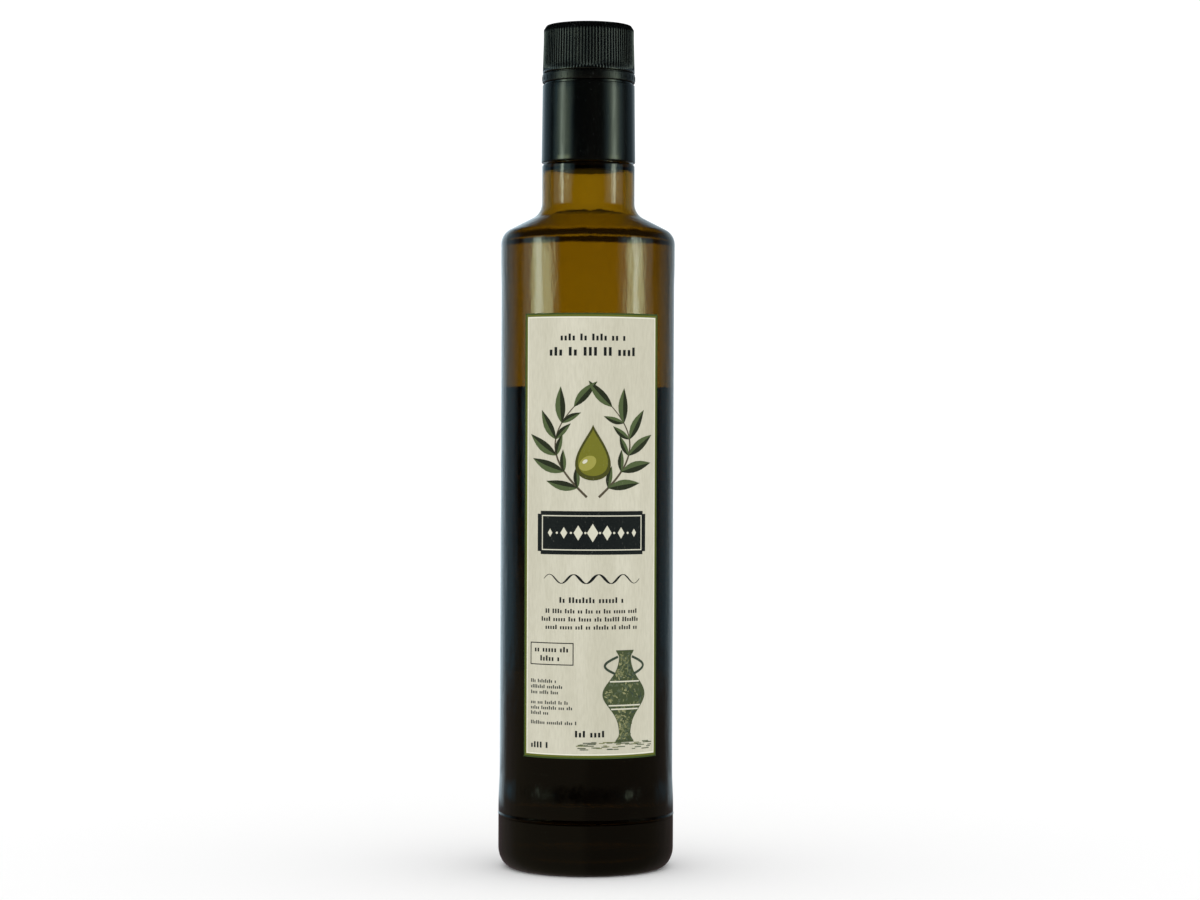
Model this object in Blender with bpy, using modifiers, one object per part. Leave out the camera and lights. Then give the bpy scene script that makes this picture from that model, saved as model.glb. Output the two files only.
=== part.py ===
"""Half-litre olive oil bottle of dark green glass, shut with a tall black closure.

The bottle stands on its foot ring with the front label towards -Y. Metres, +Z up, and the
origin is the middle of the foot.
"""

import math

import bmesh
import bpy

# Heights above the foot
TOTAL_HEIGHT = 0.2903
CAP_BASE = 0.2739
BAND_BASE = 0.2706
SLEEVE_TOP = 0.2699
SLEEVE_BASE = 0.2430
NECK_TOP = 0.2426
OIL_LEVEL = 0.2233

# Distance that touching pieces keep
GAP = 0.0003

# Glass body, with a shallow panel for the labels
BODY_RADIUS = 0.0301
PANEL_RADIUS = 0.02985
PANEL_BASE = 0.034
PANEL_TOP = 0.199
PANEL_RAMP = 0.004
WALL = 0.0026

# Fine bead that the mould leaves round the foot of the body
SEAM_HEIGHT = 0.0185
SEAM_RELIEF = 0.0003
SEAM_HALF = 0.0005

# Heel, foot ring and hollow underside
HEEL_WIDTH = 0.0048
HEEL_HEIGHT = 0.0070
FOOT_WIDTH = 0.0022
PUNT_DEPTH = 0.0042
FLOOR = 0.0046
FLOOR_CORNER = 0.0070

# Shoulder, a flat cone between two fillets. The cone would meet the neck wall at SHOULDER_CROSS
SHOULDER_RADIUS = 0.0300
SHOULDER_SLOPE = math.radians(27)
SHOULDER_CROSS = 0.2255
SHOULDER_FILLET = 0.0055
NECK_RADIUS = 0.0160
NECK_FILLET = 0.0060
NECK_WALL = 0.0029
NECK_EDGE = 0.0010

# Neck finish, hidden by the closure
FINISH_RADIUS = 0.0140
BORE_RADIUS = 0.0108
BORE_BASE = 0.2440
LIP_ROUND = 0.0008

# Screw cap, with fine upright ribs
CAP_RADIUS_LOW = 0.0159
CAP_RADIUS_HIGH = 0.01557
CAP_ROUND = 0.0014
CAP_TOP_WALL = 0.0026
RIB_COUNT = 90
RIB_DEPTH = 0.00028
RIB_START = 0.0005
RIB_END = 0.0018

# Tamper band and the smooth sleeve below it
BAND_RADIUS = 0.0161
SLEEVE_RADIUS_LOW = 0.0162
SLEEVE_RADIUS_HIGH = 0.0159
EDGE_ROUND = 0.0003

# Paper labels. The front one is turned a little to the right
LABEL_THICKNESS = 0.00025
LABEL_SPAN = math.radians(96)
FRONT_BASE = 0.0402
FRONT_TOP = 0.1901
FRONT_MIDDLE = math.radians(-86)
BACK_BASE = 0.0660
BACK_TOP = 0.1660
BACK_MIDDLE = math.radians(90)

# Facets
TURN_STEPS = 40
LABEL_STEPS = 24
ARC_STEPS = 4
MERGE = 0.00001


def clear_scene():
    for obj in list(bpy.data.objects):
        bpy.data.objects.remove(obj, do_unlink=True)


def make_collection(name):
    collection = bpy.data.collections.new(name)
    bpy.context.scene.collection.children.link(collection)
    return collection


def make_material(name, colour, roughness, transmission=0.0):
    material = bpy.data.materials.new(name)
    material.use_nodes = True
    shader = material.node_tree.nodes["Principled BSDF"]
    shader.inputs["Base Color"].default_value = (*colour, 1.0)
    shader.inputs["Roughness"].default_value = roughness
    shader.inputs["Metallic"].default_value = 0.0
    shader.inputs["Transmission Weight"].default_value = transmission
    return material


def add_object(name, mesh, material, collection):
    obj = bpy.data.objects.new(name, mesh)
    obj.data.materials.append(material)
    collection.objects.link(obj)
    return obj


def arc(centre, size, start, end, steps=ARC_STEPS):
    """Points on an ellipse with half-axes of size, between two angles in degrees from +X."""
    points = []
    for step in range(steps + 1):
        angle = math.radians(start + (end - start) * step / steps)
        points.append((centre[0] + size[0] * math.cos(angle), centre[1] + size[1] * math.sin(angle)))
    return points


def round_arc(centre, radius, start, end, steps=ARC_STEPS):
    return arc(centre, (radius, radius), start, end, steps)


def shoulder(neck, body, cross, neck_fillet, body_fillet):
    """A shoulder from the neck wall down to the body wall."""
    turn = math.pi / 2 - SHOULDER_SLOPE
    rise = neck_fillet * math.tan(turn / 2)
    drop = (body - neck) * math.tan(SHOULDER_SLOPE) + body_fillet * math.tan(turn / 2)
    degrees = math.degrees(turn)
    upper = round_arc((neck + neck_fillet, cross + rise), neck_fillet, 180, 180 + degrees)
    lower = round_arc((body - body_fillet, cross - drop), body_fillet, degrees, 0)
    return upper + lower


def inner_wall(clearance=0.0):
    """The cavity from the middle of its floor up to the neck, or a surface inside it that stays clear."""
    neck = NECK_RADIUS - NECK_WALL - clearance
    body = PANEL_RADIUS - WALL - clearance
    cross = SHOULDER_CROSS - (WALL + clearance) / math.cos(SHOULDER_SLOPE)
    cross += (NECK_RADIUS - neck) * math.tan(SHOULDER_SLOPE)
    neck_fillet = NECK_FILLET + NECK_RADIUS - neck
    body_fillet = SHOULDER_FILLET - (SHOULDER_RADIUS - body)
    corner = FLOOR_CORNER - clearance
    edge = FLOOR + clearance
    dome = arc((0.0, edge), (body - corner, PUNT_DEPTH), 90, 0)
    heel = round_arc((body - corner, edge + corner), corner, -90, 0)
    return dome + heel[1:] + shoulder(neck, body, cross, neck_fillet, body_fillet)[::-1]


def outer_wall():
    """The outside from the top of the neck down to the middle of the underside."""
    edge = round_arc((NECK_RADIUS - NECK_EDGE, NECK_TOP - NECK_EDGE), NECK_EDGE, 90, 0, 3)
    slope = shoulder(NECK_RADIUS, SHOULDER_RADIUS, SHOULDER_CROSS, NECK_FILLET, SHOULDER_FILLET)
    panel = [
        (SHOULDER_RADIUS, PANEL_TOP + PANEL_RAMP),
        (PANEL_RADIUS, PANEL_TOP),
        (PANEL_RADIUS, PANEL_BASE),
        (BODY_RADIUS, PANEL_BASE - PANEL_RAMP),
    ]
    seam = [
        (BODY_RADIUS, SEAM_HEIGHT + SEAM_HALF),
        (BODY_RADIUS + SEAM_RELIEF, SEAM_HEIGHT),
        (BODY_RADIUS, SEAM_HEIGHT - SEAM_HALF),
    ]
    heel = arc((BODY_RADIUS - HEEL_WIDTH, HEEL_HEIGHT), (HEEL_WIDTH, HEEL_HEIGHT), 0, -90, 6)
    punt = arc((0.0, 0.0), (BODY_RADIUS - HEEL_WIDTH - FOOT_WIDTH, PUNT_DEPTH), 0, 90)
    return edge + slope + panel + seam + heel + punt


def glass_profile():
    mouth = TOTAL_HEIGHT - CAP_TOP_WALL - GAP
    lip = round_arc((FINISH_RADIUS - LIP_ROUND, mouth - LIP_ROUND), LIP_ROUND, 90, 0, 3)
    bore = [(BORE_RADIUS, BORE_BASE), (BORE_RADIUS, mouth)]
    return inner_wall() + bore + lip + [(FINISH_RADIUS, NECK_TOP)] + outer_wall()


def oil_profile():
    """The oil inside the cavity, cut straight across at its level."""
    cavity = inner_wall(GAP)
    below = [point for point in cavity if point[1] < OIL_LEVEL]
    last, after = below[-1], cavity[len(below)]
    share = (OIL_LEVEL - last[1]) / (after[1] - last[1])
    rim = last[0] + (after[0] - last[0]) * share
    return [(0.0, OIL_LEVEL), (rim, OIL_LEVEL)] + below[::-1]


def ring_profile(base, top, radius_low, radius_high):
    """The closed section of a ring round the neck finish."""
    inner = FINISH_RADIUS + GAP
    high = round_arc((radius_high - EDGE_ROUND, top - EDGE_ROUND), EDGE_ROUND, 90, 0, 2)
    low = round_arc((radius_low - EDGE_ROUND, base + EDGE_ROUND), EDGE_ROUND, 0, -90, 2)
    return [(inner, top)] + high + low + [(inner, base), (inner, top)]


def turned(name, profile, material, collection, angle=2 * math.pi, steps=TURN_STEPS):
    """Turns (radius, height) points round the Z axis. The outer side runs from top to bottom."""
    closed = profile[0] == profile[-1]
    points = profile[:-1] if closed else profile
    edges = [(index, index + 1) for index in range(len(points) - 1)]
    if closed:
        edges.append((len(points) - 1, 0))
    mesh = bpy.data.meshes.new(name)
    mesh.from_pydata([(radius, 0.0, height) for radius, height in points], edges, [])
    obj = add_object(name, mesh, material, collection)
    screw = obj.modifiers.new("Turn", "SCREW")
    screw.axis = "Z"
    screw.angle = angle
    screw.steps = steps
    screw.render_steps = steps
    screw.use_smooth_shade = True
    screw.use_merge_vertices = angle == 2 * math.pi
    screw.merge_threshold = MERGE
    return obj


def build_label(name, base, top, middle, material, collection):
    """A paper label wrapped on the panel. middle is the angle of its centre line from +X."""
    radius = PANEL_RADIUS + GAP
    obj = turned(name, [(radius, top), (radius, base)], material, collection, LABEL_SPAN, LABEL_STEPS)
    obj.rotation_euler = (0.0, 0.0, middle - LABEL_SPAN / 2)
    paper = obj.modifiers.new("Paper", "SOLIDIFY")
    paper.thickness = LABEL_THICKNESS
    paper.offset = 1.0


def cap_rings():
    """(radius, height, groove depth) from the ceiling of the bore round to the edge of the flat top."""
    bore = FINISH_RADIUS + GAP
    centre = (CAP_RADIUS_HIGH - CAP_ROUND, TOTAL_HEIGHT - CAP_ROUND)
    rings = [
        (bore, TOTAL_HEIGHT - CAP_TOP_WALL, 0.0),
        (bore, CAP_BASE, 0.0),
        (CAP_RADIUS_LOW, CAP_BASE, 0.0),
        (CAP_RADIUS_LOW, CAP_BASE + RIB_START, RIB_DEPTH),
        (CAP_RADIUS_HIGH, TOTAL_HEIGHT - RIB_END, RIB_DEPTH),
    ]
    return rings + [(*point, 0.0) for point in round_arc(centre, CAP_ROUND, 0, 90, 2)]


def build_cap(material, collection):
    """The screw cap, drawn out ring by ring. Every other corner of a ring lies in a groove."""
    corners = 2 * RIB_COUNT
    shape = bmesh.new()
    bmesh.ops.create_circle(shape, cap_ends=True, segments=corners, radius=CAP_RADIUS_LOW)
    face = shape.faces[:][0]
    for number, (radius, height, depth) in enumerate(cap_rings()):
        if number:
            drawn = bmesh.ops.extrude_face_region(shape, geom=[face])["geom"]
            if number > 1:
                bmesh.ops.delete(shape, geom=[face], context="FACES_ONLY")
            face = next(part for part in drawn if isinstance(part, bmesh.types.BMFace))
        for corner, vert in enumerate(face.verts):
            reach = radius - depth * (corner % 2)
            angle = 2 * math.pi * corner / corners
            vert.co = (reach * math.cos(angle), reach * math.sin(angle), height)
    bmesh.ops.recalc_face_normals(shape, faces=shape.faces)
    mesh = bpy.data.meshes.new("screw_cap")
    shape.to_mesh(mesh)
    shape.free()
    mesh.shade_smooth()
    mesh.set_sharp_from_angle(angle=math.radians(30))
    add_object("screw_cap", mesh, material, collection)


def main():
    clear_scene()
    bottle = make_collection("olive_oil_bottle")
    glass = make_material("green_glass", (0.20, 0.16, 0.04), 0.03, 0.9)
    oil = make_material("olive_oil", (0.45, 0.30, 0.02), 0.02, 0.9)
    cap_plastic = make_material("cap_plastic", (0.012, 0.015, 0.015), 0.38)
    band_plastic = make_material("band_plastic", (0.012, 0.015, 0.015), 0.32)
    sleeve_plastic = make_material("sleeve_plastic", (0.010, 0.014, 0.014), 0.28)
    front_paper = make_material("front_paper", (0.62, 0.62, 0.49), 0.75)
    back_paper = make_material("back_paper", (0.60, 0.60, 0.48), 0.75)

    turned("glass_bottle", glass_profile(), glass, bottle)
    turned("oil", oil_profile(), oil, bottle)
    sleeve = ring_profile(SLEEVE_BASE, SLEEVE_TOP, SLEEVE_RADIUS_LOW, SLEEVE_RADIUS_HIGH)
    turned("cap_sleeve", sleeve, sleeve_plastic, bottle)
    band = ring_profile(BAND_BASE, CAP_BASE - GAP, BAND_RADIUS, BAND_RADIUS)
    turned("tamper_band", band, band_plastic, bottle)
    build_cap(cap_plastic, bottle)
    build_label("front_label", FRONT_BASE, FRONT_TOP, FRONT_MIDDLE, front_paper, bottle)
    build_label("back_label", BACK_BASE, BACK_TOP, BACK_MIDDLE, back_paper, bottle)


main()
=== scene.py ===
"""Dresses the olive oil bottle: dark green glass, golden oil, a black closure and printed paper labels.

Each piece is modelled by its own operator from the settings below, in metres, with the bottle's
axis on Z and its front label towards -Y.
"""

import math
import random

import bmesh
import bpy
from mathutils import Matrix, Vector, noise


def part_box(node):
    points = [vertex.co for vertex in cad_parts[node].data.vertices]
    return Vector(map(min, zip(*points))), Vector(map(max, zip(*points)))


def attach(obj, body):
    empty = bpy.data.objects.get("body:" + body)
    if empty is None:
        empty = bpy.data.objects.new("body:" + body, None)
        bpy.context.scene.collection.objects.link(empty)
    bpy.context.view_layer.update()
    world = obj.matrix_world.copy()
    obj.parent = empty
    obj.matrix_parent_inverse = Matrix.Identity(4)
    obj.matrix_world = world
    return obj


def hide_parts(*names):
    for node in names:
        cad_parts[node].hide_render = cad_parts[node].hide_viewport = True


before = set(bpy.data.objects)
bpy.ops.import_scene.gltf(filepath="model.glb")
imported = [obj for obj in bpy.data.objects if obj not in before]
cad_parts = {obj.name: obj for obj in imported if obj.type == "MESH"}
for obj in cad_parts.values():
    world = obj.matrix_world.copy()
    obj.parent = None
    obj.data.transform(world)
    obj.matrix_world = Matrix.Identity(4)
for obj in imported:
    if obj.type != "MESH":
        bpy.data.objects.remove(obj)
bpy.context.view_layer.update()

bl_info = {
    "name": "Olive Oil Bottle",
    "version": (1, 0, 0),
    "blender": (4, 5, 0),
    "location": "View3D > Sidebar > Bottle",
    "description": "Models a dark glass bottle of olive oil with its closure and paper labels",
    "category": "Add Mesh",
}

MM = 0.001
POLE_MERGE = 0.0000005

# Lowest and highest corners of the solids that the pieces stand for
GLASS_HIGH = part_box("glass_bottle")[1]
OIL_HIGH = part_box("oil")[1]
CAP_LOW, CAP_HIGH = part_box("screw_cap")
BAND_LOW, BAND_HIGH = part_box("tamper_band")
SLEEVE_LOW, SLEEVE_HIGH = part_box("cap_sleeve")
FRONT_LOW, FRONT_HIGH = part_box("front_label")
BACK_LOW, BACK_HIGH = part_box("back_label")

# Glass
SHOULDER_RADIUS = 30.0 * MM
SHOULDER_CROSS = 225.5 * MM
SHOULDER_FILLET = 5.5 * MM
NECK_FILLET = 6.0 * MM
NECK_WALL = 2.9 * MM
NECK_TOP = 242.6 * MM
NECK_EDGE = 1.0 * MM
PANEL_TOP = 199 * MM
PANEL_BASE = 34 * MM
PANEL_RAMP = 10 * MM
PANEL_FADE = 13 * MM
SEAM_HEIGHT = 18.5 * MM
SEAM_HALF = 0.5 * MM
SEAM_EDGE = 0.9 * MM
SEAM_GLOSS = 0.02
HEEL_WIDTH = 4.8 * MM
HEEL_HEIGHT = 7.0 * MM
FOOT_WIDTH = 2.2 * MM
PUNT_DEPTH = 4.2 * MM
FLOOR = 4.6 * MM
FLOOR_CORNER = 7.0 * MM
FINISH_RADIUS = 14.0 * MM
BORE_RADIUS = 10.8 * MM
BORE_BASE = 241.4 * MM
LIP_ROUND = 0.8 * MM
LONGEST_STEP = 5 * MM
CURVE_STEPS = 12
FILLET_STEPS = 18
HEEL_STEPS = 16
RAMP_STEPS = 8
BEAD_STEPS = 4
SURFACE_STEPS = 24
MENISCUS_WIDTH = 1.2 * MM
MOULD_TURN = math.radians(-88)
GLASS_IOR = 1.52
OIL_IOR = 1.47

# Heights between which the painted shade on the lower glass gives way to the glass's own tint
PAINTED_SHADE_HEIGHTS = (25 * MM, 120 * MM)

# Waves on the inside of the wall: how close they are round it and up it, and their share
WALL_WAVES = ((2.2, 18, 1.0), (9, 60, 0.5))

# Closure
RING_GAP = 0.3 * MM
CAP_TAPER = 0.33 * MM
CAP_CHAMFER = 1.4 * MM
CAP_ROUND = 0.35 * MM
CAP_TOP_WALL = 2.6 * MM
CAP_FOOT_INSET = 0.25 * MM
CAP_FOOT_RISE = 0.2 * MM
CAP_SKIRT = 0.45 * MM
CAP_STEPS = 12
CAP_ROUND_STEPS = 5
CAP_EDGE_INSET = 0.05 * MM
CAP_EDGE_RISE = 0.06 * MM
GROOVE_START = 0.05 * MM
GROOVE_PACE = 8
GROOVE_FLATNESS = 2.2
TAPER_PACE = 1.3
EDGE_ROUND = 0.3 * MM
EDGE_STEPS = 6
COLLAR_RADIUS = 15.2 * MM
COLLAR_GAP = 0.05 * MM
BAND_INSET = 0.1 * MM
TICK_WIDTH = 0.3 * MM
TICK_SINK = 0.05 * MM
SLEEVE_TAPER = 0.3 * MM
STOPPER_GAP = 0.1 * MM
STOPPER_BASE = 240.4 * MM
STOPPER_TOP = 246 * MM
RING_LONGEST = 2 * MM
RING_STEPS = 192
STOPPER_STEPS = 96

# Slightly sunken top of the cap: shares of its edge's radius, and depths in mm
CAP_DISH = ((0.97, 0.02), (0.94, 0.12), (0.91, 0.16), (0.5, 0.17), (0.1, 0.17))

# Finish of each plastic: roughness, grain and gloss
CAP_FINISH = (0.16, 0.03, 0.7)
BAND_FINISH = (0.34, 0.1, 0.5)
SLEEVE_FINISH = (0.21, 0.08, 0.45)
STOPPER_FINISH = (0.45, 0.1, 0.34)

# Labels
LABEL_SPAN = math.radians(96)
FRONT_MIDDLE = math.radians(-86)
BACK_MIDDLE = math.radians(90)
INK_LAYER = 0.03 * MM
INK_ROOT = 0.02 * MM
INK_STEP = 1.5 * MM
PAPER_COLUMNS = 96
PAPER_ROWS = 60

# Ticks in place of words: pitch and short height as shares of their height, breadth and gap of the pitch
TICK_PITCH = 0.6
SHORT_TICK = 0.7
TICK_BREADTH = 0.55
WORD_GAP = 0.9

# Rows of ticks on the front label in mm: left end, right end, middle height and tick height
TITLE_ROWS = ((-11.5, 11.5, 141.8, 2.3), (-15.5, 15.5, 137.0, 2.9))
STORY_ROWS = (
    (-11.5, 11.5, 53.4, 1.9), (-16.5, 16.5, 49.7, 1.5), (-18.0, 18.0, 47.0, 1.5), (-16.5, 16.5, 44.3, 1.5),
)
SMALL_ROWS = (
    (-22.2, -12, 26, 1.2), (-22.2, -9, 24.1, 1.2), (-22.2, -11, 22.2, 1.2), (-22.2, -8, 18.8, 1.2),
    (-22.2, -6.5, 17, 1.2), (-22.2, -15, 15.2, 1.2), (-22.2, -4.5, 12, 1.2),
)
FOOT_ROWS = ((-22.2, -15.0, 4.4, 2.0), (-6.0, 4.5, 8.4, 2.2))


def srgb(red, green, blue):
    """Linear values of a display colour given from 0 to 255."""
    shares = [value / 255 for value in (red, green, blue)]
    return tuple(share / 12.92 if share <= 0.04045 else ((share + 0.055) / 1.055) ** 2.4 for share in shares)


INK = srgb(18, 26, 28)
FAINT_INK = srgb(52, 58, 54)
PALE = srgb(214, 212, 192)
BRIGHT_PALE = srgb(232, 230, 212)
BORDER = srgb(98, 106, 26)
BORDER_DARK = srgb(58, 78, 30)
LEAF_DARK = srgb(38, 46, 22)
LEAF_LIGHT = srgb(80, 96, 56)
OLIVE_DARK = srgb(72, 74, 16)
OLIVE = srgb(116, 116, 26)
OLIVE_LIGHT = srgb(158, 154, 70)
BARK = srgb(84, 76, 58)
JAR_TONES = (srgb(58, 72, 56), srgb(70, 82, 50), srgb(86, 98, 72), srgb(122, 126, 84), srgb(148, 148, 104))

# Tall panels that the gloss mirrors, three over each other on each side: start, end and softness in
# degrees from the front, light, and the share of it that is left up high
STUDIO_PANELS = (
    (-94, -42, 8, (0.35, 0.6, 0.68), 1.0),
    (-80, -47, 6, (3.9, 4.7, 2.9), 0.08),
    (-71, -65, 6, (8.0, 9.6, 7.8), 0.9),
    (44, 94, 8, (0.35, 0.55, 0.62), 1.0),
    (54, 80, 6, (4.0, 4.8, 3.0), 0.08),
    (64, 70, 6, (8.0, 9.4, 7.6), 0.9),
)

# What the gloss mirrors elsewhere: the first of two colours lies low down
STUDIO_SIDES = ((0.15, 0.13, 0.11), (0.19, 0.31, 0.38))
STUDIO_FRONT = ((0.14, 0.12, 0.08), (0.005, 0.006, 0.006))
STUDIO_BACK = ((0.1, 0.075, 0.08), (0.8, 1.0, 1.12))
STUDIO_RIGHT = (0.05, 0.04, 0.03)
STUDIO_TOP = (0.02, 0.02, 0.02)

# What shows through the glass
BACKDROP_SIDES = (0.32, 0.38, 0.4)
BACKDROP_WHITE = (1.0, 1.0, 1.0)
BACKDROP_STRIP = (0.07, 0.065, 0.06)

# White of the studio as the camera sees it, and as it lights dull surfaces
CAMERA_WHITE = (1.1, 1.1, 1.1)
SOFT_WHITE = (1.08, 1.08, 1.08)
STAGE_RADIUS = 4.0
STAGE_STEPS = 64
SENSOR_WIDTH = 36


def colour_setting(name, description, default):
    return bpy.props.FloatVectorProperty(
        name=name, description=description, default=default, size=3, min=0, max=1, subtype="COLOR"
    )


def length_setting(name, description, default):
    return bpy.props.FloatProperty(
        name=name, description=description, default=default, unit="LENGTH", precision=5
    )


class GlassSettings(bpy.types.PropertyGroup):
    body_radius: length_setting("Body radius", "Radius of the body below the label panel", 30.25 * MM)
    panel_radius: length_setting("Panel radius", "Radius of the shallow panel behind the labels", 29.85 * MM)
    neck_radius: length_setting("Neck radius", "Radius of the neck under the closure", 16.0 * MM)
    wall: length_setting("Wall", "Thickness of the body's wall", 2.6 * MM)
    slope: bpy.props.FloatProperty(
        name="Shoulder slope", description="Fall of the shoulder below the level",
        default=math.radians(27), subtype="ANGLE",
    )
    ripple: length_setting("Ripple", "How far the inside of the wall wanders from true", 0.05 * MM)
    mould_line: length_setting("Mould line", "Height of the two fine lines left by the mould", 0.06 * MM)
    tint: colour_setting("Tint", "Colour that the two faces of a wall give the light", (0.70, 0.60, 0.21))
    # Foot tint: painted shade that darkens the glass towards the bottom, reaching far above the thick foot
    foot_painted_shade: colour_setting("Foot tint", "The same, low down where the glass is thick", (0.14, 0.11, 0.07))
    body_tint: colour_setting("Body tint", "Colour of the light within the glass", (0.763, 0.672, 0.077))
    density: bpy.props.FloatProperty(
        name="Density", description="How strongly a metre of the glass takes light", default=650, min=0
    )
    roughness: bpy.props.FloatProperty(
        name="Roughness", description="Softness of the reflections",
        default=0.05, min=0, max=1, subtype="FACTOR",
    )
    steps: bpy.props.IntProperty(name="Steps", description="Steps round the bottle", default=192, min=32)


class OilSettings(bpy.types.PropertyGroup):
    level: length_setting("Level", "Height of the oil above the foot", OIL_HIGH.z - 0.9 * MM)
    reach: length_setting("Reach", "How far the oil reaches into the wall, so that no gap shows", 0.12 * MM)
    meniscus: length_setting("Meniscus", "How far the oil climbs the wall", 0.9 * MM)
    tint: colour_setting("Tint", "Colour of the light that the oil lets through", (0.78, 0.71, 0.29))


class ClosureSettings(bpy.types.PropertyGroup):
    ribs: bpy.props.IntProperty(name="Ribs", description="Ribs round the screw cap", default=90, min=12)
    rib_depth: length_setting("Rib depth", "Depth of the grooves between the ribs", 0.5 * MM)
    columns: bpy.props.IntProperty(name="Columns", description="Mesh columns to a rib", default=10, min=4)
    ticks: bpy.props.IntProperty(name="Ticks", description="Raised ticks round the band", default=40, min=0)
    colour: colour_setting("Colour", "Black of the moulded plastic", srgb(3, 5, 5))
    dust: colour_setting("Dust", "Colour of the dust and scuffs on the plastic", srgb(96, 104, 100))


class LabelSettings(bpy.types.PropertyGroup):
    standoff: length_setting("Standoff", "Distance from the glass to the paper", 0.05 * MM)
    thickness: length_setting("Thickness", "Thickness of the paper", 0.2 * MM)
    border_width: length_setting("Border width", "Width of the printed border", 1.2 * MM)
    paper: colour_setting("Paper", "Colour of the laid paper", srgb(214, 211, 192))
    paper_line: colour_setting("Laid lines", "Colour of the fine lines in the paper", srgb(199, 196, 176))
    paper_fibre: colour_setting("Fibres", "Colour of the darker fibres in the paper", srgb(168, 164, 140))
    # Glue side: a dark grey that is painted shade for the little light that reaches the back of the paper
    glued_side_shade: colour_setting("Glue side", "Colour of the side that is glued to the glass", srgb(62, 66, 64))


class StageSettings(bpy.types.PropertyGroup):
    lens: bpy.props.FloatProperty(name="Lens", description="Focal length for a 36 mm sensor", default=85.7)
    distance: length_setting("Distance", "From the camera to the bottle's axis", 0.989)
    eye: length_setting("Eye height", "Height of the camera", 0.150)
    aside: length_setting("Aside", "How far the camera stands to the right", 0.0044)
    tilt: bpy.props.FloatProperty(
        name="Tilt", description="How far the camera looks down",
        default=math.radians(0.353), subtype="ANGLE",
    )
    roll: bpy.props.FloatProperty(
        name="Roll", description="Lean of the camera about its view",
        default=math.radians(0.235), subtype="ANGLE",
    )
    floor: colour_setting("Floor", "Colour of the floor", (0.95, 0.95, 0.95))


def arc(centre, size, start, end, steps=CURVE_STEPS):
    """Points on an ellipse with half-axes of size, between two angles in degrees from +X."""
    points = []
    for step in range(steps + 1):
        angle = math.radians(start + (end - start) * step / steps)
        points.append((centre[0] + size[0] * math.cos(angle), centre[1] + size[1] * math.sin(angle)))
    return points


def round_arc(centre, radius, start, end, steps=CURVE_STEPS):
    return arc(centre, (radius, radius), start, end, steps)


def shoulder(slope, neck, body, cross, neck_fillet, body_fillet):
    """A shoulder from the neck wall down to the body wall."""
    turn = math.pi / 2 - slope
    rise = neck_fillet * math.tan(turn / 2)
    drop = (body - neck) * math.tan(slope) + body_fillet * math.tan(turn / 2)
    degrees = math.degrees(turn)
    upper = round_arc((neck + neck_fillet, cross + rise), neck_fillet, 180, 180 + degrees, FILLET_STEPS)
    lower = round_arc((body - body_fillet, cross - drop), body_fillet, degrees, 0, FILLET_STEPS)
    return upper + lower


def inner_wall(glass, clearance=0.0):
    """The cavity from the middle of its floor up to the neck, or a surface that stays that far inside it."""
    neck = glass.neck_radius - NECK_WALL - clearance
    body = glass.panel_radius - glass.wall - clearance
    cross = SHOULDER_CROSS - (glass.wall + clearance) / math.cos(glass.slope)
    cross += (glass.neck_radius - neck) * math.tan(glass.slope)
    neck_fillet = NECK_FILLET + glass.neck_radius - neck
    body_fillet = SHOULDER_FILLET - (SHOULDER_RADIUS - body)
    corner = FLOOR_CORNER - clearance
    edge = FLOOR + clearance
    dome = arc((0.0, edge), (body - corner, PUNT_DEPTH), 90, 0)
    heel = round_arc((body - corner, edge + corner), corner, -90, 0)
    walls = shoulder(glass.slope, neck, body, cross, neck_fillet, body_fillet)
    return dome + heel[1:] + walls[::-1]


def outer_wall(glass):
    """The outside from the top of the neck down to the middle of the underside."""
    edge = round_arc((glass.neck_radius - NECK_EDGE, NECK_TOP - NECK_EDGE), NECK_EDGE, 90, 0)
    slope = shoulder(
        glass.slope, glass.neck_radius, SHOULDER_RADIUS, SHOULDER_CROSS, NECK_FILLET, SHOULDER_FILLET
    )
    panel = []
    for start, end, height, ramp in (
        (SHOULDER_RADIUS, glass.panel_radius, PANEL_TOP + PANEL_RAMP, PANEL_RAMP),
        (glass.panel_radius, glass.body_radius, PANEL_BASE, PANEL_FADE),
    ):
        for step in range(RAMP_STEPS + 1):
            share = 0.5 - 0.5 * math.cos(math.pi * step / RAMP_STEPS)
            panel.append((start + (end - start) * share, height - ramp * step / RAMP_STEPS))
    relief = GLASS_HIGH.x - glass.body_radius
    seam = [(glass.body_radius, SEAM_HEIGHT + SEAM_EDGE)]
    for step in range(2 * BEAD_STEPS + 1):
        offset = SEAM_HALF * (1 - step / BEAD_STEPS)
        bead = 0.5 + 0.5 * math.cos(math.pi * offset / SEAM_HALF)
        seam.append((glass.body_radius + relief * bead, SEAM_HEIGHT + offset))
    seam.append((glass.body_radius, SEAM_HEIGHT - SEAM_EDGE))
    middle = (glass.body_radius - HEEL_WIDTH, HEEL_HEIGHT)
    heel = arc(middle, (HEEL_WIDTH, HEEL_HEIGHT), 0, -90, HEEL_STEPS)
    punt = arc((0.0, 0.0), (glass.body_radius - HEEL_WIDTH - FOOT_WIDTH, PUNT_DEPTH), 0, 90)
    return edge + slope + panel + seam + heel + punt


def divided(points, longest=LONGEST_STEP):
    """The same outline with its long straight runs cut into shorter steps."""
    result = [points[0]]
    for start, end in zip(points, points[1:]):
        parts = max(1, math.ceil(math.dist(start, end) / longest))
        for part in range(1, parts + 1):
            share = part / parts
            result.append(tuple(low + (high - low) * share for low, high in zip(start, end)))
    return result


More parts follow.
